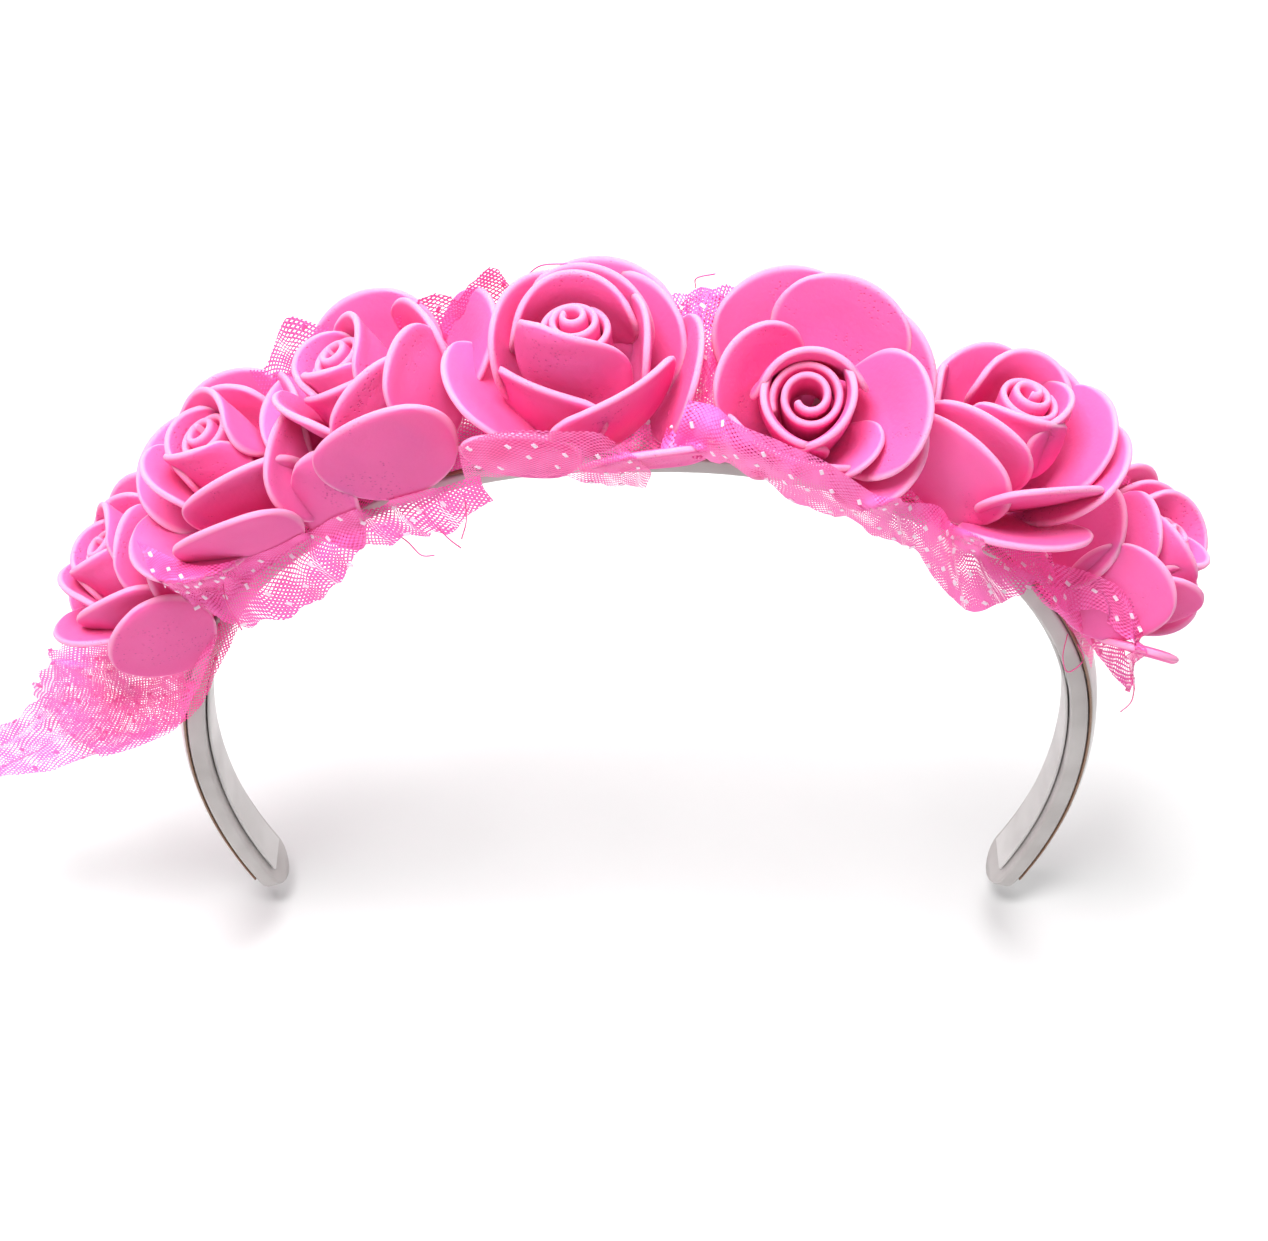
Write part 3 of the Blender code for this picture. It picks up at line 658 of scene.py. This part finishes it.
for name, cad_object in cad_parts.items():
    if name.endswith("glue_pad"):
        cad_object.data.materials.clear()
        cad_object.data.materials.append(CLEAR_GLUE)
    elif name.endswith("stem"):
        cad_object.data.materials.clear()
        cad_object.data.materials.append(STEM)


# ---- net ----
# Each sheet of net is a row of ribs. A rib runs across the net, from the held edge to the free one, as
# (along the band, out from its inner face, back) in millimetres.

NET_STEP = 1.0
RIB_POINTS = 40
FOAM_GAP = 0.5
DOT_LENGTH = 1.0
DOT_WIDTH = 0.55
DOT_HEIGHT = 0.22
DOT_JITTER = 0.85  # of the spacing
TOWARDS_FRONT = Vector((0.0, -0.61, 0.79))


def spline(points, count):
    """count points of a smooth curve through the given ones."""
    points = np.asarray(points, float)
    if len(points) == 2:
        share = np.linspace(0, 1, count).reshape((-1,) + (1,) * (points.ndim - 1))
        return points[0] * (1 - share) + points[1] * share
    padded = np.concatenate([[2 * points[0] - points[1]], points, [2 * points[-1] - points[-2]]])
    places = np.linspace(0, len(points) - 1, count)
    first = np.minimum(places.astype(int), len(points) - 2)
    t = (places - first).reshape((-1,) + (1,) * (points.ndim - 1))
    a, b, c, d = (padded[first + k] for k in range(4))
    square, cube = 2 * a - 5 * b + 4 * c - d, 3 * b - a - 3 * c + d
    return 0.5 * (2 * b + (c - a) * t + square * t ** 2 + cube * t ** 3)


def on_crown(points):
    """World places of (along, out, back) points."""
    flat = np.asarray(points).reshape(-1, 3)
    placed = [(*arch(along, out)[:2], back) for along, out, back in flat]
    return np.array([(x, back, z) for x, z, back in placed]).reshape(np.asarray(points).shape)


def uneven(rng, count, knots):
    """A slow random line between -1 and 1."""
    return spline(rng.uniform(-1, 1, knots), count)


def foam_tree():
    points, faces, start = [], [], 0
    for piece in FOAM_PIECES:
        points += [v.co.copy() for v in piece.data.vertices]
        faces += [tuple(start + i for i in face.vertices) for face in piece.data.polygons]
        start = len(points)
    return BVHTree.FromPolygons(points, faces)


def laid_over(surface, reach=14.0, rounds=2):
    """Lifts the points that would lie in or just behind foam onto it, and eases what is between."""
    lift = np.zeros(surface.shape[:2])
    for i in range(surface.shape[0]):
        for j in range(surface.shape[1]):
            place = Vector(surface[i, j] * MM)
            hit = FOAM_TREE.ray_cast(place + TOWARDS_FRONT * reach * MM, -TOWARDS_FRONT, reach * MM)
            if hit[0] is not None:
                lift[i, j] = (hit[0] - place).dot(TOWARDS_FRONT) / MM + FOAM_GAP
    needed = lift.copy()
    for _ in range(rounds):
        wide = np.pad(lift, 1, mode="edge")
        eased = (wide[:-2, 1:-1] + wide[2:, 1:-1] + wide[1:-1, :-2] + wide[1:-1, 2:] + 2 * lift) / 6
        lift = np.maximum(eased, needed)
    return surface + lift[..., None] * np.array(TOWARDS_FRONT)


def folds(surface, rng, height, count, held=0.15, slant=0.0):
    """Gathers a sheet: sharp uneven folds that open towards its free edge."""
    rows, columns = surface.shape[:2]
    along, across = np.meshgrid(np.linspace(0, 1, rows), np.linspace(0, 1, columns), indexing="ij")
    drift = uneven(rng, rows, max(4, count))[:, None]
    phase = 2 * math.pi * (count * (along + slant * across) + 0.35 * drift)
    wave = (np.sin(phase) + 0.45 * np.sin(2.3 * phase + 1.0 + 2.0 * across)
            + 0.2 * np.sin(5.1 * phase + 3 * across))
    strength = height * (held + (1 - held) * across ** 1.3) * (0.75 + 0.35 * uneven(rng, rows, 5)[:, None])
    outwards = normals(surface) * (wave * strength)[..., None]
    sideways = unit(np.gradient(surface, axis=0)) * (0.6 * np.cos(phase) * strength)[..., None]
    return surface + outwards + sideways


def net_sheet(name, ribs, height, count, torn=0.1, slant=0.0, over_foam=True, finish=None,
              dots=None, held_share=0.15, point=None, spacing=4.6):
    """A sheet of net in folds over its ribs, with a torn free edge and its woven dots. Its flat size is its
    own length along and across, because net hardly stretches."""
    crossing = np.stack([spline(rib, RIB_POINTS) for rib in ribs])
    guide = on_crown(spline(crossing, 80))
    rows = int(np.linalg.norm(np.diff(guide, axis=0), axis=-1).sum(axis=0).max() / NET_STEP) + 2
    columns = int(np.linalg.norm(np.diff(guide, axis=1), axis=-1).sum(axis=1).max() / NET_STEP) + 2
    rng = np.random.default_rng(sum(ord(letter) for letter in name))
    cut = 1.0 - torn * (0.5 + 0.5 * uneven(rng, rows, max(5, rows // 3)))
    if point is not None:
        cut *= np.interp(np.linspace(0, 1, rows), *point)
    surface = on_crown(spline(crossing, rows))
    shares = np.linspace(0, 1, columns)
    trimmed = np.empty((rows, columns, 3))
    for i in range(rows):
        for axis in range(3):
            trimmed[i, :, axis] = np.interp(shares * cut[i], np.linspace(0, 1, RIB_POINTS), surface[i, :, axis])
    surface = folds(trimmed, rng, height, count, held_share, slant)
    if over_foam:
        surface = laid_over(surface)
    steps_across = np.linalg.norm(np.diff(surface, axis=1), axis=-1)
    steps_along = np.linalg.norm(np.diff(surface, axis=0), axis=-1).mean(axis=1)
    across = np.concatenate([np.zeros((rows, 1)), np.cumsum(steps_across, axis=1)], axis=1)
    along = np.repeat(np.concatenate([[0.0], np.cumsum(steps_along)])[:, None], columns, axis=1)
    width, length = max(10, math.ceil(across.max())), math.ceil(along.max())
    uv = np.stack([across, along], axis=-1).reshape(-1, 2)
    piece = mesh_object(name, surface.reshape(-1, 3), grid_faces(rows, columns), finish or NET, uv=uv)
    speckles = woven_dots(piece, f"{name}_dots", width, length, spacing, dots or DOT_PAINTED_HIGHLIGHT)
    finished(speckles, "pink_net")
    finished(piece, "pink_net", "tulle_strip")
    return piece


def woven_dots_tree():
    """Small bars of thread on a staggered grid over a sheet's flat coordinates."""
    tree = bpy.data.node_groups.new("woven_dots", "GeometryNodeTree")
    tree.interface.new_socket(name="Geometry", in_out="OUTPUT", socket_type="NodeSocketGeometry")
    tree.interface.new_socket(name="Geometry", in_out="INPUT", socket_type="NodeSocketGeometry")
    for key, kind in (("Width", "Float"), ("Length", "Float"), ("Spacing", "Float"), ("Dot Length", "Float"),
                      ("Dot Width", "Float"), ("Seed", "Int"), ("Finish", "Material")):
        tree.interface.new_socket(name=key, in_out="INPUT", socket_type=f"NodeSocket{kind}")
    start, end = tree.nodes.new("NodeGroupInput"), tree.nodes.new("NodeGroupOutput")
    inputs = start.outputs
    counts = [math_node(tree, "ADD", math_node(tree, "DIVIDE", inputs[key], inputs["Spacing"]), 1.0)
              for key in ("Width", "Length")]
    grid = node(tree, "GeometryNodeMeshGrid", {"Size X": inputs["Width"], "Size Y": inputs["Length"],
                                               "Vertices X": counts[0], "Vertices Y": counts[1]})
    place = node(tree, "ShaderNodeSeparateXYZ", {0: node(tree, "GeometryNodeInputPosition").outputs[0]})
    row = math_node(tree, "ROUND", math_node(tree, "DIVIDE", place.outputs["Y"], inputs["Spacing"]))
    odd = math_node(tree, "PINGPONG", row, 1.0)
    jitter = node(tree, "FunctionNodeRandomValue", {"Seed": inputs["Seed"]}, data_type="FLOAT_VECTOR")
    loose = node(tree, "ShaderNodeSeparateXYZ", {0: jitter.outputs[0]})
    spots = []
    for axis, key in (("X", "Width"), ("Y", "Length")):
        centred = math_node(tree, "ADD", place.outputs[axis], math_node(tree, "MULTIPLY", inputs[key], 0.5))
        shifted = math_node(tree, "ADD", centred, math_node(
            tree, "MULTIPLY", math_node(tree, "MULTIPLY", loose.outputs[axis], DOT_JITTER), inputs["Spacing"]))
        if axis == "X":
            half = math_node(tree, "MULTIPLY", inputs["Spacing"], 0.5)
            shifted = math_node(tree, "ADD", shifted, math_node(tree, "MULTIPLY", odd, half))
        spots.append(shifted)
    spot = node(tree, "ShaderNodeCombineXYZ", {0: spots[0], 1: spots[1]}).outputs[0]
    stored = node(tree, "GeometryNodeStoreNamedAttribute",
                  {"Geometry": grid.outputs[0], "Name": "spot", "Value": spot}, data_type="FLOAT_VECTOR")
    spot, flat = (node(tree, "GeometryNodeInputNamedAttribute", {"Name": key},
                       data_type="FLOAT_VECTOR").outputs[0] for key in ("spot", "UVMap"))
    beside = node(tree, "ShaderNodeVectorMath", {0: spot, 1: (0.0005, 0.0003, 0.0)}, operation="ADD")

    def sampled(value, where):
        made = tree.nodes.new("GeometryNodeSampleUVSurface")
        made.data_type = "FLOAT_VECTOR"
        tree.links.new(inputs["Geometry"], made.inputs[0])
        tree.links.new(value, made.inputs["Value"])
        flat_input = "UV Map" if "UV Map" in made.inputs else "Source UV Map"
        tree.links.new(flat, made.inputs[flat_input])
        tree.links.new(where, made.inputs["Sample UV"])
        return made

    there = sampled(node(tree, "GeometryNodeInputPosition").outputs[0], spot)
    near = sampled(node(tree, "GeometryNodeInputPosition").outputs[0], beside.outputs[0])
    upright = sampled(node(tree, "GeometryNodeInputNormal").outputs[0], spot)
    moved = node(tree, "GeometryNodeSetPosition",
                 {"Geometry": stored.outputs[0], "Position": there.outputs["Value"]})
    missing = node(tree, "FunctionNodeBooleanMath", {0: there.outputs["Is Valid"]}, operation="NOT")
    kept = node(tree, "GeometryNodeDeleteGeometry",
                {"Geometry": moved.outputs[0], "Selection": missing.outputs[0]})
    slope = node(tree, "ShaderNodeVectorMath", {0: near.outputs["Value"], 1: there.outputs["Value"]},
                 operation="SUBTRACT").outputs[0]
    facing = node(tree, "FunctionNodeAlignRotationToVector", {"Vector": upright.outputs["Value"]}, axis="Z")
    turned_to = node(tree, "FunctionNodeAlignRotationToVector",
                     {"Rotation": facing.outputs[0], "Vector": slope}, axis="X", pivot_axis="Z")
    size = node(tree, "ShaderNodeCombineXYZ", {0: inputs["Dot Length"], 1: inputs["Dot Width"], 2: DOT_HEIGHT * MM})
    bar = node(tree, "GeometryNodeMeshCube", {"Size": size.outputs[0]})
    placed = node(tree, "GeometryNodeInstanceOnPoints",
                  {"Points": kept.outputs[0], "Instance": bar.outputs[0], "Rotation": turned_to.outputs[0]})
    real = node(tree, "GeometryNodeRealizeInstances", {"Geometry": placed.outputs[0]})
    finish = node(tree, "GeometryNodeSetMaterial",
                  {"Geometry": real.outputs[0], "Material": inputs["Finish"]})
    tree.links.new(finish.outputs[0], end.inputs[0])
    return tree


WOVEN_DOTS = woven_dots_tree()


def woven_dots(sheet, name, width, length, spacing, finish):
    """The dots of one sheet as a plain mesh."""
    carrier = bpy.data.objects.new(f"{name}_carrier", sheet.data.copy())
    bpy.context.scene.collection.objects.link(carrier)
    modifier = carrier.modifiers.new("woven_dots", "NODES")
    modifier.node_group = WOVEN_DOTS
    given = {"Width": width * MM, "Length": length * MM, "Spacing": spacing * MM, "Dot Length": DOT_LENGTH * MM,
             "Dot Width": DOT_WIDTH * MM, "Seed": SEED, "Finish": finish}
    for socket in WOVEN_DOTS.interface.items_tree:
        if socket.name in given:
            modifier[socket.identifier] = given[socket.name]
    bpy.context.view_layer.update()
    evaluated = carrier.evaluated_get(bpy.context.evaluated_depsgraph_get())
    mesh = bpy.data.meshes.new_from_object(evaluated)
    bpy.data.objects.remove(carrier)
    mesh.materials.clear()
    mesh.materials.append(finish)
    piece = bpy.data.objects.new(name, mesh)
    bpy.context.scene.collection.objects.link(piece)
    return piece


FOAM_TREE = foam_tree()

# Under the roses: the gathered strip that they are glued to.
# Each entry: place along the band, how far the net goes past its front and how much it puffs up behind.
UNDER_RIBS = ((-97, 3, 0), (-88, 3, 1), (-74, 4, 2), (-60, 4, 1), (-46, 3, 3), (-32, 1, 1), (-18, 0, 2),
              (-5, 0, 1), (10, 1, 3), (24, 3, 1), (38, 4, 3), (53, 4, 1), (67, 3, 3), (82, 3, 1), (93, 2, 0))
UNDER = tuple(
    ((along, 5.6, -5.0 - front), (along, 6.5, -3.0), (along, 6.6, 1.0), (along, 6.8, 5.0), (along, 8.0, 8.5),
     (along, 9.0 + puff, 11.0)) for along, front, puff in UNDER_RIBS)
net_sheet("net_under_roses", UNDER, 0.9, 26, torn=0.08, over_foam=False, finish=NET_DENSE,
          held_share=0.25)

# The left end: it leaves the band beside the first rose and hangs free.
LEFT_TAIL = (
    ((-76, 1, -8), (-84, 6, 0), (-88, 9, 7)), ((-90, 0, -8), (-95, 6, 0), (-99, 12, 8)),
    ((-101, 2, -9), (-104, 12, 0), (-106, 23, 10)), ((-109, 9, -9), (-111, 18, 0), (-111, 30, 11)),
    ((-114, 17, -9), (-116, 24, 0), (-117, 31, 10)), ((-118, 28, -9), (-121, 33, 0), (-123, 37, 8)),
    ((-122, 39, -8), (-125, 42, 0), (-127, 45, 7)), ((-125, 46, -7), (-127, 48, 0), (-128, 50, 6)))
net_sheet("net_left_tail", LEFT_TAIL, 0.8, 3, torn=0.06, slant=0.8, over_foam=False,
          dots=DOT_PINK, held_share=0.9, spacing=5.6)
LEFT_FOLD = (
    ((-80, 3, -9), (-86, 9, -3), (-91, 14, 2)), ((-92, 3, -12), (-97, 11, -4), (-101, 19, 3)),
    ((-101, 5, -13), (-104, 15, -4), (-107, 27, 5)), ((-107, 11, -13), (-110, 21, -4), (-112, 33, 6)),
    ((-112, 18, -12), (-114, 26, -4), (-115, 34, 6)))
net_sheet("net_left_fold", LEFT_FOLD, 0.35, 2, torn=0.12, slant=-0.9, over_foam=False,
          dots=DOT_PINK, held_share=0.9, spacing=7.0)

# The front edge, left of the middle: a torn frill below the band.
FRONT_FRILL = (
    ((-68, 25, -9), (-69, 21, -12), (-69, 18, -13)), ((-67, 17, -10), (-69, 14, -13), (-71, 10, -14)),
    ((-65, 12, -10), (-68, 8, -13), (-70, 3, -15)), ((-59, 8, -9), (-61, 4, -13), (-62, -1, -15)),
    ((-53, 6, -8), (-54, 3, -12), (-54, -3, -13)), ((-46, 6, -8), (-46, 4, -11), (-45, 1, -12)),
    ((-39, 5, -8), (-37, 3, -11), (-35, -1, -12)), ((-31, 5, -8), (-31, 2, -10), (-30, -2, -11)),
    ((-23, 6, -8), (-23, 4, -9), (-22, 2, -10)))
net_sheet("net_front_frill", FRONT_FRILL, 0.9, 8, torn=0.2, over_foam=True, finish=NET_DENSE)

# Over the front of the fifth rose, then down in a wide hang between it and the sixth.
FRONT_DRAPE = (
    ((7, 20, -8), (6, 19, -11), (5, 14, -12)), ((10, 22, -11), (9, 20, -14), (9, 13, -13)),
    ((12, 25, -17), (12, 20, -18), (13, 13, -15)), ((17, 24, -19), (17, 19, -19), (18, 11, -16)),
    ((21, 23, -20), (22, 17, -20), (26, 8, -17)), ((30, 16, -18), (31, 12, -18), (34, 6, -16)),
    ((36, 13, -15), (38, 9, -16), (42, 4, -15)), ((42, 12, -12), (45, 7, -14), (53, -2, -14)),
    ((48, 8, -11), (53, 3, -13), (61, -2, -14)), ((56, 6, -10), (59, 5, -12), (64, 4, -13)),
    ((60, 7, -9), (62, 8, -10), (65, 9, -11)))
net_sheet("net_front_drape", FRONT_DRAPE, 0.7, 7, torn=0.1, finish=NET_DOUBLE)

# The gather between the fourth and fifth roses, back to front.
GATHER = (
    ((5, 20, 14), (9, 22, 14), (13, 23, 14)), ((6, 14, 6), (9, 16, 6), (12, 16, 6)),
    ((5, 12, -2), (9, 12, -2), (12, 12, -2)), ((4, 13, -8), (8, 14, -9), (11, 15, -9)),
    ((3, 12, -12), (7, 13, -13), (11, 13, -13)))
net_sheet("net_gather", GATHER, 0.9, 2, torn=0.05, slant=1.4, over_foam=False,
          held_share=0.9, finish=NET_DENSE)

# The right end: over the seventh rose's front, ending in a point.
RIGHT_END = (
    ((60, 7, -8), (62, 8, -10), (66, 7, -12)), ((66, 9, -6), (70, 9, -9), (74, 8, -12)),
    ((73, 11, -4), (77, 12, -8), (80, 10, -12)), ((80, 12, -2), (84, 13, -7), (88, 11, -12)),
    ((87, 12, 0), (91, 12, -5), (97, 12, -11)))
net_sheet("net_right_end", RIGHT_END, 0.9, 4, torn=0.15,
          point=((0, 0.2, 0.45, 0.8, 1), (0.6, 1, 0.7, 0.8, 1)))

RIGHT_POINT = (
    ((68, 5, -8), (71, 5, -9), (74, 5, -9)), ((73, 9, -7), (76, 8, -9), (79, 7, -10)),
    ((81, 11, -7), (84, 9, -9), (87, 8, -10)), ((88, 12, -8), (90, 10, -9), (92, 9, -10)),
    ((96, 12, -9), (96.5, 11.5, -9.5), (97, 11, -10)))
net_sheet("net_right_point", RIGHT_POINT, 0.5, 3, torn=0.05, over_foam=False, finish=NET_DENSE,
          dots=DOT_PINK)

# The net that lies over the low petals of the fourth rose.
FOURTH_COVER = (
    ((-22, 20, -15), (-23, 14, -14), (-24, 8, -12)), ((-16, 24, -17), (-16, 17, -16), (-17, 9, -13)),
    ((-10, 23, -17), (-10, 16, -16), (-11, 7, -13)), ((-5, 22, -17), (-5, 15, -16), (-4, 6, -13)),
    ((2, 10, -13), (2, 8, -12), (1, 4, -11)))
net_sheet("net_fourth_cover", FOURTH_COVER, 0.4, 3, torn=0.2)

# Puffs behind the roses.
PUFFS = (
    (2, (((-51, 12, 7), (-50, 19, 9), (-49, 27, 12)), ((-46, 13, 8), (-45, 21, 11), (-43, 29, 14)),
         ((-42, 12, 8), (-40, 20, 11), (-37, 27, 14)))),
    (4, (((-31, 9, 9), (-31, 18, 12), (-30, 25, 13)), ((-24, 9, 9), (-22, 18, 14), (-21, 26, 15)),
         ((-15, 9, 9), (-13, 18, 14), (-12, 26, 15)), ((-8, 9, 9), (-6, 18, 13), (-4, 26, 14)))),
    (2, (((5, 9, 9), (5, 15, 12), (6, 22, 14)), ((12, 9, 9), (12, 15, 12), (13, 22, 14)))),
    (2, (((58, 12, 9), (59, 18, 12), (60, 25, 14)), ((63, 12, 9), (64, 18, 12), (65, 24, 13)),
         ((70, 12, 7), (71, 18, 9), (73, 23, 9)))),
)
for i, (count, ribs) in enumerate(PUFFS):
    net_sheet(f"net_back_puff_{i + 1}", ribs, 1.0, count, torn=0.25, over_foam=False,
              dots=DOT_PINK, held_share=0.3)


def stray_threads(name, paths, radius=0.11):
    """Loose threads of the net as thin tubes through a few points each."""
    points, faces, start = [], [], 0
    for path in paths:
        line = spline(on_crown(path), 22)
        heading = np.gradient(line, axis=0)
        heading /= np.linalg.norm(heading, axis=1, keepdims=True)
        first = np.cross(heading, (0.3, 0.5, 0.8))
        first /= np.linalg.norm(first, axis=1, keepdims=True)
        second = np.cross(heading, first)
        turns = np.arange(4) * math.pi / 2
        ring = [line + radius * (first * math.cos(a) + second * math.sin(a)) for a in turns]
        points.append(np.stack(ring, axis=1).reshape(-1, 3))
        faces += grid_faces(len(line), 4, start, wrap=True)
        last = start + (len(line) - 1) * 4
        faces += [tuple(start + i for i in range(4)), tuple(last + i for i in (3, 2, 1, 0))]
        start += len(line) * 4
    piece = mesh_object(name, np.concatenate(points), faces, DOT_PINK)
    outward(piece)
    return finished(piece, "pink_net")


stray_threads("net_loose_threads", (
    ((84, 4, -6), (87, 2, -8), (90, 2, -9), (89, 5, -8), (86, 5, -7)),
    ((-40, 3, -10), (-38, -1, -11), (-37, -4, -12), (-35, -5, -12)),
    ((-33, 3, -10), (-31, -2, -12), (-30, -5, -12)),
    ((-26, 4, -9), (-27, 0, -11), (-29, -3, -12)),
    ((-64, 12, -12), (-66, 9, -15), (-69, 4, -16)),
    ((-100, 10, 6), (-104, 14, 8), (-107, 20, 12), (-109, 27, 13)),
    ((96, 12, -10), (97, 11, -12), (99, 9, -12)),
    ((8, 22, 14), (8, 24, 14), (10, 26, 13)),
    ((-14, 25, 14), (-12, 27, 14), (-9, 28, 13)),
))

# ---- floor, light and camera ----

FLOOR_Z = -0.1245
# Each lamp: its name, place, size across and power.
LAMPS = (("key", (-0.20, -0.12, 1.10), 0.6, 19.5), ("fill", (-0.6, -0.8, 0.5), 0.8, 1.0),
         ("back", (0.15, 0.75, 0.75), 0.8, 8.0))


def studio():
    made, tree, shader = material("pale_floor")
    grain = noise(tree, object_place(tree), 40.0, 3.0)
    pale, paler = (0.68, 0.68, 0.68), (0.71, 0.71, 0.71)
    tree.links.new(mix_colour(tree, grain, pale, paler), shader.inputs["Base Color"])
    shader.inputs["Roughness"].default_value = 0.9
    bpy.ops.mesh.primitive_plane_add(size=12.0, location=(0.0, 0.0, FLOOR_Z))
    floor = bpy.context.object
    floor.name = "floor"
    floor.data.materials.append(made)
    world = bpy.data.worlds.new("studio")
    bpy.context.scene.world = world
    world.use_nodes = True
    world.node_tree.nodes["Background"].inputs["Color"].default_value = (1.0, 1.0, 1.0, 1.0)
    world.node_tree.nodes["Background"].inputs["Strength"].default_value = 0.36
    for name, place, size, power in LAMPS:
        lamp = bpy.data.lights.new(name, "AREA")
        lamp.energy = power
        lamp.size = size
        lamp.shape = "DISK"
        holder = bpy.data.objects.new(name, lamp)
        holder.location = place
        holder.rotation_euler = (Vector((0, 0, -0.03)) - Vector(place)).to_track_quat("-Z", "Y").to_euler()
        bpy.context.scene.collection.objects.link(holder)


def camera():
    data = bpy.data.cameras.new("camera")
    data.sensor_width = 36.0
    data.lens = 72.4
    data.shift_x = -0.0028
    data.shift_y = 0.0567
    data.clip_start = 0.01
    data.clip_end = 20.0
    viewer = bpy.data.objects.new("camera", data)
    place = Vector((0.0, -0.27394, 0.29502))
    viewer.location = place
    viewer.rotation_euler = (Vector((0.0, 0.0, -0.062)) - place).to_track_quat("-Z", "Y").to_euler()
    bpy.context.scene.collection.objects.link(viewer)
    bpy.context.scene.camera = viewer


studio()
camera()
bpy.context.scene.view_settings.view_transform = "Standard"
